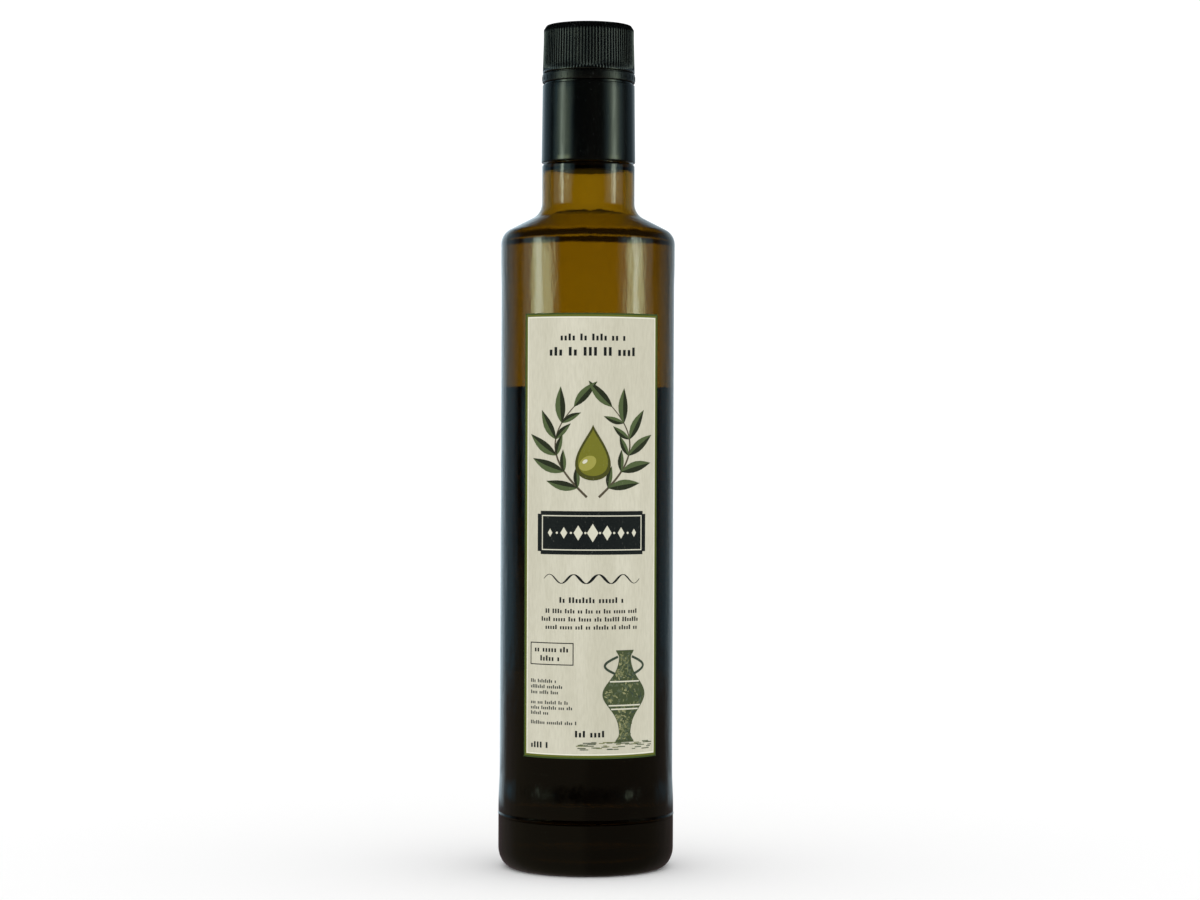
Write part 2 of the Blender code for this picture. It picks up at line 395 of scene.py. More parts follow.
def spun(points, steps):
    """A closed mesh turned round the Z axis from (radius, height) points."""
    shape = bmesh.new()
    closed = points[0] == points[-1]
    verts = [shape.verts.new((radius, 0.0, height)) for radius, height in points[:-1 if closed else None]]
    edges = [shape.edges.new(pair) for pair in zip(verts, verts[1:])]
    if closed:
        edges.append(shape.edges.new((verts[-1], verts[0])))
    bmesh.ops.spin(
        shape, geom=verts + edges, cent=(0, 0, 0), axis=(0, 0, 1),
        angle=2 * math.pi, steps=steps, use_merge=True, use_duplicate=False,
    )
    bmesh.ops.remove_doubles(shape, verts=shape.verts, dist=POLE_MERGE)
    bmesh.ops.recalc_face_normals(shape, faces=shape.faces)
    return shape


def place(name, shape, materials, sharp=math.radians(50)):
    """Makes the finished piece from its mesh and lets it ride with the bottle."""
    mesh = bpy.data.meshes.new(name)
    shape.to_mesh(mesh)
    shape.free()
    for material in materials:
        mesh.materials.append(material)
    mesh.shade_smooth()
    mesh.set_sharp_from_angle(angle=sharp)
    piece = bpy.data.objects.new(name, mesh)
    bpy.context.scene.collection.objects.link(piece)
    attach(piece, "root")
    return piece


def new_material(name, roughness):
    """A material, its node tree and its Principled shader."""
    material = bpy.data.materials.new(name)
    material.use_nodes = True
    shader = material.node_tree.nodes["Principled BSDF"]
    shader.inputs["Roughness"].default_value = roughness
    return material, material.node_tree, shader


def add_node(tree, kind, settings=None, **inputs):
    """A node with its settings and the values of its inputs, named with underscores for spaces."""
    node = tree.nodes.new(kind)
    for name, value in (settings or {}).items():
        setattr(node, name, value)
    for name, value in inputs.items():
        node.inputs[name.replace("_", " ")].default_value = value
    return node


def object_coordinates(tree):
    return add_node(tree, "ShaderNodeTexCoord").outputs["Object"]


def stretched_noise(tree, source, stretch, scale, detail=2.0, roughness=0.5):
    """A noise over a coordinate that is stretched along its axes."""
    mapping = add_node(tree, "ShaderNodeMapping", Scale=stretch)
    texture = add_node(tree, "ShaderNodeTexNoise", Scale=scale, Detail=detail, Roughness=roughness)
    tree.links.new(source, mapping.inputs["Vector"])
    tree.links.new(mapping.outputs["Vector"], texture.inputs["Vector"])
    return texture.outputs["Fac"]


def ranged(tree, source, low, high, to_low=0.0, to_high=1.0):
    """The source eased from one range to another, and clamped."""
    node = add_node(
        tree, "ShaderNodeMapRange", {"clamp": True, "interpolation_type": "SMOOTHSTEP"},
        From_Min=low, From_Max=high, To_Min=to_low, To_Max=to_high,
    )
    tree.links.new(source, node.inputs["Value"])
    return node.outputs["Result"]


def mixed(tree, share, first, second):
    """A colour between two others, each of them a colour or an output of a node."""
    node = add_node(tree, "ShaderNodeMix", {"data_type": "RGBA"})
    tree.links.new(share, node.inputs[0])
    for source, socket in ((first, node.inputs[6]), (second, node.inputs[7])):
        if isinstance(source, bpy.types.NodeSocket):
            tree.links.new(source, socket)
        else:
            socket.default_value = (*source, 1.0)
    return node.outputs[2]


def bumped(tree, shader, height, strength, distance):
    node = add_node(tree, "ShaderNodeBump", Strength=strength, Distance=distance)
    tree.links.new(height, node.inputs["Height"])
    tree.links.new(node.outputs["Normal"], shader.inputs["Normal"])


def glass_material(glass):
    """Dark green glass with a soft ripple, darkened towards the bottom by painted shade; wetted by oil it
    mirrors nothing.
    """
    material, tree, shader = new_material("bottle_glass", glass.roughness)
    mirror = add_node(tree, "ShaderNodeAttribute", {"attribute_name": "mirror"})
    tree.links.new(mirror.outputs["Fac"], shader.inputs["Specular Tint"])
    shader.inputs["Transmission Weight"].default_value = 1.0
    medium = add_node(
        tree, "ShaderNodeVolumeAbsorption", Color=(*glass.body_tint, 1.0), Density=glass.density
    )
    tree.links.new(medium.outputs["Volume"], tree.nodes["Material Output"].inputs["Volume"])
    shader.inputs["IOR"].default_value = GLASS_IOR
    position = object_coordinates(tree)
    split = add_node(tree, "ShaderNodeSeparateXYZ")
    tree.links.new(position, split.inputs["Vector"])
    # Painted shade: the glass's colour darkens towards the bottom
    rise = ranged(tree, split.outputs["Z"], *PAINTED_SHADE_HEIGHTS)
    tree.links.new(mixed(tree, rise, glass.foot_painted_shade, glass.tint), shader.inputs["Base Color"])
    ripple = stretched_noise(tree, position, (1, 1, 0.22), 330, 3)
    bumped(tree, shader, ripple, 0.9, 0.13 * MM)
    return material


def oil_material(oil):
    """Clear golden oil with faint deeper clouds, which mirrors nothing itself."""
    material, tree, shader = new_material("golden_oil", 0.0)
    shader.inputs["Transmission Weight"].default_value = 1.0
    shader.inputs["IOR"].default_value = OIL_IOR
    shader.inputs["Specular Tint"].default_value = (0.0, 0.0, 0.0, 1.0)
    drift = stretched_noise(tree, object_coordinates(tree), (1, 1, 0.4), 30, 2)
    deeper = tuple(value * 0.85 for value in oil.tint)
    tone = mixed(tree, ranged(tree, drift, 0.35, 0.7), oil.tint, deeper)
    tree.links.new(tone, shader.inputs["Base Color"])
    return material


def plastic_material(name, closure, roughness, grain, gloss):
    """Moulded black plastic with a fine grain, faint scuffs and a few specks of dust."""
    material, tree, shader = new_material(name, roughness)
    shader.inputs["Specular IOR Level"].default_value = gloss
    position = object_coordinates(tree)
    scuffs = ranged(tree, stretched_noise(tree, position, (1, 1, 0.3), 900, 4, 0.7), 0.62, 0.85, 0.0, 0.25)
    tone = mixed(tree, scuffs, closure.colour, closure.dust)
    specks = ranged(tree, stretched_noise(tree, position, (1, 1, 1), 2600, 0), 0.82, 0.86, 0.0, 0.25)
    tone = mixed(tree, specks, tone, closure.dust)
    tree.links.new(tone, shader.inputs["Base Color"])
    shine = stretched_noise(tree, position, (1, 1, 0.15), 500, 3)
    shine = ranged(tree, shine, 0.3, 0.7, roughness - 0.05, roughness + 0.06)
    tree.links.new(shine, shader.inputs["Roughness"])
    bumped(tree, shader, stretched_noise(tree, position, (1, 1, 1), 5000, 2), grain, 0.02 * MM)
    return material


def paper_material(label):
    """Uncoated laid paper, with fine lines and fibres that run up the label."""
    material, tree, shader = new_material("laid_paper", 0.85)
    shader.inputs["Specular IOR Level"].default_value = 0.3
    position = object_coordinates(tree)
    lines = stretched_noise(tree, position, (1, 1, 0.16), 1900, 2)
    fibres = stretched_noise(tree, position, (1, 1, 0.25), 3600, 3, 0.65)
    clouds = stretched_noise(tree, position, (1, 1, 0.12), 90, 3)
    tone = mixed(tree, ranged(tree, lines, 0.3, 0.75, 0.0, 0.6), label.paper, label.paper_line)
    tone = mixed(tree, ranged(tree, clouds, 0.3, 0.7, 0.0, 0.3), tone, label.paper_fibre)
    tone = mixed(tree, ranged(tree, fibres, 0.62, 0.82, 0.0, 0.35), tone, label.paper_fibre)
    tree.links.new(tone, shader.inputs["Base Color"])
    bumped(tree, shader, lines, 0.2, 0.02 * MM)
    return material


def shaded_glue_material(label):
    """The dull glued side of a label, seen through the glass; its dark grey is painted shade, with darker
    patches at random.
    """
    material, tree, shader = new_material("painted_shade_glue_side", 0.7)
    patches = stretched_noise(tree, object_coordinates(tree), (1, 1, 0.4), 120, 3)
    darker = tuple(value * 0.6 for value in label.glued_side_shade)
    tone = mixed(tree, ranged(tree, patches, 0.35, 0.7), label.glued_side_shade, darker)
    tree.links.new(tone, shader.inputs["Base Color"])
    return material


def print_material():
    """Ink in the colours of the printed shapes, broken up a little by the paper under it."""
    material, tree, shader = new_material("printing_ink", 0.7)
    shader.inputs["Specular IOR Level"].default_value = 0.3
    ink = add_node(tree, "ShaderNodeAttribute", {"attribute_name": "ink"}).outputs["Color"]
    worn = stretched_noise(tree, object_coordinates(tree), (1, 1, 0.3), 2600, 3, 0.7)
    tone = mixed(tree, ranged(tree, worn, 0.62, 0.86, 0.0, 0.4), ink, PALE)
    tree.links.new(tone, shader.inputs["Base Color"])
    return material


def finish_glass(shape, glass, level):
    """Lets the inside of the wall wander, raises the two mould lines and tells apart the wetted wall."""
    shape.normal_update()
    for vert in shape.verts:
        outward = Vector((vert.co.x, vert.co.y, 0.0))
        if outward.length < MM:
            continue
        outward.normalize()
        facing = vert.normal.dot(outward)
        if facing < -0.5:
            wander = 0.0
            for around, along, share in WALL_WAVES:
                spot = (outward.x * around, outward.y * around, vert.co.z * along)
                wander += share * noise.noise(Vector(spot))
            vert.co += outward * glass.ripple * wander
        elif facing > 0.2 and vert.co.z > PANEL_TOP + PANEL_RAMP:
            turn = math.atan2(outward.y, outward.x) - MOULD_TURN
            if abs(math.sin(turn)) < math.sin(math.pi / glass.steps):
                vert.co += outward * glass.mould_line
    mirror = shape.faces.layers.float.new("mirror")
    for face in shape.faces:
        middle = face.calc_center_median()
        on_floor = middle.z > FLOOR and face.normal.z > 0.5
        inward = on_floor or face.normal.dot(Vector((middle.x, middle.y, 0))) < 0
        face[mirror] = 0.0 if inward and FLOOR * 0.9 < middle.z < level else 1.0
        if not inward and abs(middle.z - SEAM_HEIGHT) < SEAM_EDGE:
            face[mirror] = SEAM_GLOSS


class BOTTLE_OT_glass(bpy.types.Operator):
    """Model the glass bottle with its foot, label panel, shoulder, neck and open mouth"""

    bl_idname = "bottle.glass"
    bl_label = "Glass"

    def execute(self, context):
        glass = context.scene.bottle_glass
        lip = round_arc((FINISH_RADIUS - LIP_ROUND, GLASS_HIGH.z - LIP_ROUND), LIP_ROUND, 90, 0)
        neck = glass.neck_radius - NECK_WALL
        shelf = round_arc((BORE_RADIUS, BORE_BASE - neck + BORE_RADIUS), neck - BORE_RADIUS, 0, 90)
        bore = shelf + [(BORE_RADIUS, GLASS_HIGH.z)]
        outline = inner_wall(glass) + bore + lip + [(FINISH_RADIUS, NECK_TOP)] + outer_wall(glass)
        shape = spun(divided(outline), glass.steps)
        finish_glass(shape, glass, context.scene.bottle_oil.level)
        piece = place("glass_body", shape, [glass_material(glass)])
        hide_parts("glass_bottle")
        return {"FINISHED"}


class BOTTLE_OT_oil(bpy.types.Operator):
    """Fill the bottle with oil up to its level, with a meniscus at the wall"""

    bl_idname = "bottle.oil"
    bl_label = "Oil"

    def execute(self, context):
        glass = context.scene.bottle_glass
        oil = context.scene.bottle_oil
        cavity = divided(inner_wall(glass, -oil.reach))
        top = oil.level + oil.meniscus
        below = [point for point in cavity if point[1] < top]
        last, after = below[-1], cavity[len(below)]
        rim = last[0] + (after[0] - last[0]) * (top - last[1]) / (after[1] - last[1])
        surface = []
        for step in range(SURFACE_STEPS + 1):
            radius = rim * math.sin(math.pi / 2 * step / SURFACE_STEPS)
            surface.append((radius, oil.level + oil.meniscus * math.exp((radius - rim) / MENISCUS_WIDTH)))
        shape = spun(surface + below[::-1], glass.steps)
        piece = place("oil_fill", shape, [oil_material(oil)])
        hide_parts("oil")
        return {"FINISHED"}


def drawn_rings(rings, columns, groove):
    """A closed round shape drawn out ring by ring from (radius, height, groove depth)."""
    shape = bmesh.new()
    bmesh.ops.create_circle(shape, cap_ends=True, segments=columns, radius=rings[0][0])
    verts, edges = shape.verts[:], shape.edges[:]
    for number, (radius, height, depth) in enumerate(rings):
        if number:
            drawn = bmesh.ops.extrude_edge_only(shape, edges=edges)["geom"]
            verts = [part for part in drawn if isinstance(part, bmesh.types.BMVert)]
            edges = [part for part in drawn if isinstance(part, bmesh.types.BMEdge)]
        for vert in verts:
            angle = math.atan2(vert.co.y, vert.co.x)
            reach = radius - depth * groove(angle)
            vert.co = (reach * math.cos(angle), reach * math.sin(angle), height)
    bmesh.ops.holes_fill(shape, edges=edges, sides=0)
    bmesh.ops.recalc_face_normals(shape, faces=shape.faces)
    return shape


class BOTTLE_OT_screw_cap(bpy.types.Operator):
    """Model the ribbed screw cap with its chamfered edge and slightly sunken top"""

    bl_idname = "bottle.screw_cap"
    bl_label = "Screw Cap"

    def execute(self, context):
        closure = context.scene.bottle_closure
        low, high = CAP_HIGH.x, CAP_HIGH.x - CAP_TAPER
        base, top = CAP_LOW.z, CAP_HIGH.z
        bore = FINISH_RADIUS + RING_GAP
        rings = [(bore, top - CAP_TOP_WALL, 0.0), (bore, base, 0.0), (low - CAP_FOOT_INSET, base, 0.0)]
        rings += [(low, base + CAP_FOOT_RISE, 0.0), (low, base + CAP_SKIRT, 0.0)]
        start, end = base + CAP_SKIRT, top - CAP_CHAMFER
        for step in range(CAP_STEPS + 1):
            share = step / CAP_STEPS
            depth = closure.rib_depth * min(1.0, share * GROOVE_PACE)
            radius = low + (high - low) * min(1.0, share * TAPER_PACE)
            rings.append((radius, start + GROOVE_START + (end - start - GROOVE_START) * share, depth))
        rings.append((high - CAP_EDGE_INSET, end + CAP_EDGE_RISE, closure.rib_depth))
        edge = high - CAP_CHAMFER + CAP_ROUND
        corner = round_arc((edge, top - CAP_ROUND), CAP_ROUND, 45, 90, CAP_ROUND_STEPS)
        for step, point in enumerate(corner):
            rings.append((*point, closure.rib_depth * (1 - step / CAP_ROUND_STEPS)))
        for share, dip in CAP_DISH:
            rings.append((edge * share, top - dip * MM, 0.0))

        def groove(angle):
            """Narrow round ribs stand between wider grooves."""
            return min(1.0, GROOVE_FLATNESS * (1 - abs(math.cos(angle * closure.ribs / 2))))

        shape = drawn_rings(rings, closure.ribs * closure.columns, groove)
        plastic = plastic_material("cap_black", closure, *CAP_FINISH)
        piece = place("ribbed_cap", shape, [plastic], math.radians(60))
        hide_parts("screw_cap")
        return {"FINISHED"}


def ring_outline(base, top, radius_low, radius_high, above):
    """The closed section of a ring round the neck finish, with a set-back collar up to the ring above."""
    inner = FINISH_RADIUS + RING_GAP
    lid = above - COLLAR_GAP
    collar = [(inner, lid), (COLLAR_RADIUS, lid), (COLLAR_RADIUS, top)]
    high = round_arc((radius_high - EDGE_ROUND, top - EDGE_ROUND), EDGE_ROUND, 90, 0, EDGE_STEPS)
    low = round_arc((radius_low - EDGE_ROUND, base + EDGE_ROUND), EDGE_ROUND, 0, -90, EDGE_STEPS)
    return collar + high + low + [(inner, base), (inner, lid)]


class BOTTLE_OT_tamper_band(bpy.types.Operator):
    """Model the tamper band with plain raised ticks round it"""

    bl_idname = "bottle.tamper_band"
    bl_label = "Tamper Band"

    def execute(self, context):
        closure = context.scene.bottle_closure
        base, top = BAND_LOW.z, BAND_HIGH.z
        wall = BAND_HIGH.x - BAND_INSET
        shape = spun(ring_outline(base, top, wall, wall, CAP_LOW.z), RING_STEPS)
        for number in range(closure.ticks):
            verts = bmesh.ops.create_cube(shape, size=1.0)["verts"]
            bmesh.ops.scale(shape, verts=verts, vec=(TICK_WIDTH, TICK_WIDTH, (top - base) * 0.5))
            bmesh.ops.translate(shape, verts=verts, vec=(wall - TICK_SINK, 0.0, (base + top) / 2))
            turn = Matrix.Rotation(2 * math.pi * number / closure.ticks, 3, "Z")
            bmesh.ops.rotate(shape, verts=verts, cent=(0, 0, 0), matrix=turn)
        plastic = plastic_material("band_black", closure, *BAND_FINISH)
        piece = place("ticked_band", shape, [plastic])
        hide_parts("tamper_band")
        return {"FINISHED"}


class BOTTLE_OT_sleeve(bpy.types.Operator):
    """Model the smooth sleeve below the tamper band, and the dark foot of the stopper inside the neck"""

    bl_idname = "bottle.sleeve"
    bl_label = "Sleeve"

    def execute(self, context):
        closure = context.scene.bottle_closure
        low, high = SLEEVE_HIGH.x, SLEEVE_HIGH.x - SLEEVE_TAPER
        outline = ring_outline(SLEEVE_LOW.z, SLEEVE_HIGH.z, low, high, BAND_LOW.z)
        plastic = plastic_material("sleeve_black", closure, *SLEEVE_FINISH)
        shape = spun(divided(outline, RING_LONGEST), RING_STEPS)
        piece = place("smooth_sleeve", shape, [plastic])
        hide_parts("cap_sleeve")
        wall = BORE_RADIUS - STOPPER_GAP
        foot = round_arc((wall - EDGE_ROUND, STOPPER_BASE + EDGE_ROUND), EDGE_ROUND, 0, -90, EDGE_STEPS)
        stopper = [(0.0, STOPPER_TOP), (wall, STOPPER_TOP)] + foot + [(0.0, STOPPER_BASE)]
        dull = plastic_material("stopper_black", closure, *STOPPER_FINISH)
        shape = spun(divided(stopper, RING_LONGEST), STOPPER_STEPS)
        place("neck_stopper", shape, [dull])
        return {"FINISHED"}


def wrap(shape, middle, radius, base):
    """Bends a flat sheet of (round, up, out) onto the bottle."""
    for vert in shape.verts:
        angle = middle + vert.co.x / radius
        reach = radius + vert.co.z
        vert.co = (reach * math.cos(angle), reach * math.sin(angle), base + vert.co.y)


class PrintSheet:
    """Printed shapes on a flat label: u runs round the bottle from its middle and v up from its foot."""

    def __init__(self):
        self.shape = bmesh.new()
        self.ink = self.shape.verts.layers.float_color.new("ink")
        self.lift = self.shape.verts.layers.float.new("lift")

    def stamp(self, verts, colour, layer):
        for vert in verts:
            vert[self.ink] = (*colour, 1.0)
            vert[self.lift] = layer * INK_LAYER

    def bar(self, u, v, width, height, colour, layer=1):
        """A rectangle about its middle."""
        verts = bmesh.ops.create_grid(self.shape, x_segments=1, y_segments=1, size=0.5)["verts"]
        bmesh.ops.scale(self.shape, verts=verts, vec=(width, height, 1))
        bmesh.ops.translate(self.shape, verts=verts, vec=(u, v, 0))
        self.stamp(verts, colour, layer)

    def outline(self, u, v, width, height, line, colour, layer=1):
        """A rectangle drawn as four lines."""
        for side in (-1, 1):
            self.bar(u, v + side * (height - line) / 2, width, line, colour, layer)
            self.bar(u + side * (width - line) / 2, v, line, height - 2 * line, colour, layer)

    def blob(self, at, colour, layer=1, segments=16):
        """A rounded shape whose edge at(angle) gives as a point."""
        verts = bmesh.ops.create_circle(self.shape, cap_ends=True, segments=segments, radius=1)["verts"]
        for vert in verts:
            vert.co = (*at(math.atan2(vert.co.y, vert.co.x)), 0.0)
        self.stamp(verts, colour, layer)

    def oval(self, u, v, width, height, turn, colour, layer=1, segments=16):
        def at(angle):
            along, across = math.cos(angle) * width / 2, math.sin(angle) * height / 2
            cosine, sine = math.cos(turn), math.sin(turn)
            return u + along * cosine - across * sine, v + along * sine + across * cosine

        self.blob(at, colour, layer, segments)

    def leaf(self, u, v, length, width, turn, colour, half, layer=1):
        """A pointed leaf from its stalk at u, v, with its lighter half on one side of the midrib."""
        def edge(angle, sides):
            share = 0.5 + 0.5 * math.cos(angle)
            side = math.copysign(1.0, math.sin(angle)) if abs(math.sin(angle)) > 0.001 else 0.0
            spread = width / 2 * math.sin(math.pi * share ** 0.85) * (side if side in sides else 0.0)
            spread += 0.12 * length * (share - share ** 2)
            along = share * length
            cosine, sine = math.cos(turn), math.sin(turn)
            return u + along * cosine - spread * sine, v + along * sine + spread * cosine

        self.blob(lambda angle: edge(angle, (-1, 1)), colour, layer, 20)
        self.blob(lambda angle: edge(angle, (1,)), half, layer + 1, 20)

    def ribbon(self, at, width, colour, layer=1, steps=24):
        """A line along at(share), with its width at each share of the way from width(share)."""
        verts = bmesh.ops.create_grid(self.shape, x_segments=steps, y_segments=1, size=0.5)["verts"]
        for vert in verts:
            share = vert.co.x + 0.5
            here = Vector(at(share))
            ahead = Vector(at(min(share + 0.01, 1.0))) - Vector(at(max(share - 0.01, 0.0)))
            across = Vector((-ahead.y, ahead.x)).normalized() * vert.co.y * width(share)
            vert.co = (*(here + across), 0.0)
        self.stamp(verts, colour, layer)

    def words(self, left, right, v, height, colour, chance):
        """A row of plain upright ticks, grouped as closely as words, that fills a line."""
        step = height * TICK_PITCH
        u = left + step / 2
        while u < right - step / 2:
            for _ in range(chance.randint(2, 8)):
                if u > right - step / 2:
                    break
                tall = height * chance.choice((SHORT_TICK, SHORT_TICK, 1.0))
                self.bar(u, v - (height - tall) / 2, step * TICK_BREADTH, tall, colour)
                u += step
            u += step * WORD_GAP

    def rows(self, lines, colour, chance):
        """Rows of ticks, each with its left end, right end, middle height and tick height in mm."""
        for left, right, v, height in lines:
            self.words(left * MM, right * MM, v * MM, height * MM, colour, chance)

    def finish(self, name, middle, radius, base):
        """Cuts the shapes into strips, gives them their thickness and wraps them on the bottle."""
        shape = self.shape
        reach = max(abs(vert.co.x) for vert in shape.verts)
        for number in range(-int(reach / INK_STEP), int(reach / INK_STEP) + 1):
            bmesh.ops.bisect_plane(
                shape, geom=shape.verts[:] + shape.edges[:] + shape.faces[:],
                plane_co=(number * INK_STEP, 0, 0), plane_no=(1, 0, 0),
            )
        roots = shape.verts[:]
        drawn = bmesh.ops.extrude_face_region(shape, geom=shape.faces[:])["geom"]
        for vert in drawn:
            if isinstance(vert, bmesh.types.BMVert):
                vert.co.z = vert[self.lift]
        for vert in roots:
            vert.co.z = -INK_ROOT
        wrap(shape, middle, radius, base)
        bmesh.ops.recalc_face_normals(shape, faces=shape.faces)
        return place(name, shape, [print_material()], math.radians(30))


def paper_radius(glass, label):
    """From the bottle's axis to the printed side of a label."""
    return glass.panel_radius + label.standoff + label.thickness


def paper_piece(name, label, glass, middle, low, high):
    """A curved sheet of paper with its printed side and its glued side."""
    radius = paper_radius(glass, label)
    width, height = LABEL_SPAN * radius, high.z - low.z
    shape = bmesh.new()
    grid = bmesh.ops.create_grid(shape, x_segments=PAPER_COLUMNS, y_segments=PAPER_ROWS, size=0.5)
    bmesh.ops.scale(shape, verts=grid["verts"], vec=(width, height, 1))
    bmesh.ops.translate(shape, verts=grid["verts"], vec=(0, height / 2, -label.thickness))
    back = shape.faces[:]
    drawn = bmesh.ops.extrude_face_region(shape, geom=back)["geom"]
    front = [part for part in drawn if isinstance(part, bmesh.types.BMVert)]
    bmesh.ops.translate(shape, verts=front, vec=(0, 0, label.thickness))
    for face in back:
        face.material_index = 1
    wrap(shape, middle, radius, low.z)
    bmesh.ops.recalc_face_normals(shape, faces=shape.faces)
    return place(name, shape, [paper_material(label), shaded_glue_material(label)])


def print_border(sheet, label, width, height):
    """The two greens round the edge of a label, with a pale line inside them."""
    line = label.border_width
    middle = height / 2
    sheet.outline(0, middle, width, height, line, BORDER)
    sheet.outline(0, middle, width, height, line * 0.42, BORDER_DARK, 2)
    sheet.outline(0, middle, width - 2 * line, height - 2 * line, 0.45 * MM, BRIGHT_PALE, 2)


def print_drop(sheet, u, v, size):
    """A hanging drop of oil with a darker edge, a lighter side and a small glint."""
    for share, colour, layer in ((1.0, OLIVE_DARK, 3), (0.84, OLIVE, 4)):
        def at(angle, radius=share * size / 2):
            turn = angle % (2 * math.pi)
            across = radius * 1.15 * math.sin(turn) * abs(math.sin(turn / 2)) ** 1.5
            return u + across, v + 1.25 * radius * math.cos(turn)

        sheet.blob(at, colour, layer, 40)
    sheet.oval(u - size * 0.12, v - size * 0.24, size * 0.42, size * 0.3, 0.6, OLIVE_LIGHT, 5, 20)
    sheet.oval(u - size * 0.18, v - size * 0.2, size * 0.13, size * 0.08, 0.6, PALE, 6, 12)


def print_wreath(sheet, chance):
    """Two leafy sprigs that bend towards each other round a drop of oil."""
    foot, crown, spread = 88 * MM, 31 * MM, 13 * MM
    for side in (-1, 1):
        def stem(share, side=side):
            turn = math.pi * (0.05 + 0.8 * share)
            return side * spread * math.sin(turn), foot + crown * share

        sheet.ribbon(stem, lambda share: (0.8 - 0.5 * share) * MM, BARK, 1)
        for number in range(6):
            share = 0.1 + 0.88 * number / 5
            here = Vector(stem(share))
            ahead = Vector(stem(min(share + 0.02, 1.0))) - Vector(stem(share - 0.02))
            along = math.atan2(ahead.y, ahead.x)
            for lean in (0,) if number == 5 else (-1, 1):
                inward = lean * side > 0
                turn = along + lean * math.radians(chance.uniform(30, 44))
                length = (7.5 if inward else chance.uniform(11.0, 13.0)) * MM
                dark, light = (LEAF_LIGHT, LEAF_DARK) if inward else (LEAF_DARK, LEAF_LIGHT)
                sheet.leaf(here.x, here.y, length, length * 0.29, turn, dark, light)
    print_drop(sheet, 0.0, 103 * MM, 15 * MM)


def print_plaque(sheet):
    """A dark panel with a pale inner line and a row of plain lozenges."""
    v, width, height = 76 * MM, 39 * MM, 14.6 * MM
    sheet.bar(0, v, width, height - 2 * MM, INK)
    sheet.bar(0, v, width - 2.4 * MM, height, INK, 1.5)
    sheet.outline(0, v, width - 3.4 * MM, height - 2.8 * MM, 0.35 * MM, PALE, 3)
    for number in range(-3, 4):
        size = (6.2 - 1.15 * abs(number)) * MM
        sheet.oval(number * 4.9 * MM, v, size * 0.62, size, 0, PALE, 3, 4)
        if number < 3:
            sheet.oval((number + 0.5) * 4.9 * MM, v, 0.8 * MM, 0.8 * MM, 0, PALE, 3, 8)


def print_jar(sheet, chance):
    """A tall two-handled jar of small dabs, lighter on its left, on a ground of short strokes."""
    u, foot, height = 11.5 * MM, 5.5 * MM, 31 * MM
    dabs, strokes = 520, 46

    def half(share):
        """Half the jar's width at a share of its height: foot, belly, neck and lip."""
        belly = 6.0 * math.exp(-((share - 0.52) / 0.21) ** 2)
        rims = 1.5 * math.exp(-(share / 0.05) ** 2) + 1.3 * math.exp(-((share - 1) / 0.045) ** 2)
        return (2.0 + belly + rims) * MM

    sheet.ribbon(lambda share: (u, foot + height * share), lambda share: 2 * half(share), JAR_TONES[1], 1, 48)
    for side in (-1, 1):
        def handle(share, side=side):
            turn = math.pi * share
            return u + side * (2.6 + 4.6 * math.sin(turn)) * MM, foot + height * (0.93 - 0.2 * share)

        sheet.ribbon(handle, lambda share: 0.8 * MM, JAR_TONES[0], 2)
    for number in range(dabs):
        share, across = chance.uniform(0.02, 0.98), chance.uniform(-0.94, 0.94)
        light = 0.3 * (0.5 - 0.5 * across) + 0.7 * chance.random()
        length = chance.uniform(0.8, 1.7) * MM
        sheet.oval(
            u + across * (half(share) - 0.4 * MM), foot + height * share, length, length * 0.42,
            chance.uniform(0, math.pi), JAR_TONES[int(4.99 * light)], 2 + number % 3 * 0.5, 6,
        )
    for share in (0.36, 0.4, 0.66):
        sheet.bar(u, foot + height * share, 1.86 * half(share), 0.45 * MM, PALE, 4)
    for _ in range(strokes):
        spot, reach = chance.uniform(-4, 22), chance.uniform(1.2, 3.4) * MM
        tone = JAR_TONES[chance.randint(0, 3)]
        sheet.bar(spot * MM, chance.uniform(3.0, 5.6) * MM, reach, 0.3 * MM, tone, 1)


def print_front(sheet, label, width, height):
    """The front label: rows of ticks for words, a wreath, a plaque, a flourish, a box and a jar."""
    chance = random.Random(7)
    print_border(sheet, label, width, height)
    sheet.rows(TITLE_ROWS, INK, chance)
    print_wreath(sheet, chance)
    print_plaque(sheet)
    sheet.ribbon(
        lambda share: ((share - 0.5) * 34 * MM, (60.5 + 1.5 * math.sin(share * 8 * math.pi)) * MM),
        lambda share: (0.18 + 0.75 * math.sin(math.pi * share) * abs(math.cos(share * 8 * math.pi))) * MM,
        INK, 1, 120,
    )
    sheet.rows(STORY_ROWS, INK, chance)
    box_u, box_v = -14.3 * MM, 35.2 * MM
    sheet.outline(box_u, box_v, 16.0 * MM, 7.6 * MM, 0.32 * MM, INK)
    sheet.words(box_u - 6.4 * MM, box_u + 6.4 * MM, box_v + 1.5 * MM, 1.8 * MM, INK, chance)
    sheet.words(box_u - 4.2 * MM, box_u + 4.2 * MM, box_v - 1.5 * MM, 1.8 * MM, INK, chance)
    sheet.rows(SMALL_ROWS, FAINT_INK, chance)
    sheet.rows(FOOT_ROWS, INK, chance)
    print_jar(sheet, chance)


class BOTTLE_OT_front_label(bpy.types.Operator):
    """Print and wrap the front label"""

    bl_idname = "bottle.front_label"
    bl_label = "Front Label"

    def execute(self, context):
        glass = context.scene.bottle_glass
        label = context.scene.bottle_label
        radius = paper_radius(glass, label)
        paper = paper_piece("front_sheet", label, glass, FRONT_MIDDLE, FRONT_LOW, FRONT_HIGH)
        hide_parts("front_label")
        sheet = PrintSheet()
        print_front(sheet, label, LABEL_SPAN * radius, FRONT_HIGH.z - FRONT_LOW.z)
        sheet.finish("front_print", FRONT_MIDDLE, radius, FRONT_LOW.z)
        return {"FINISHED"}


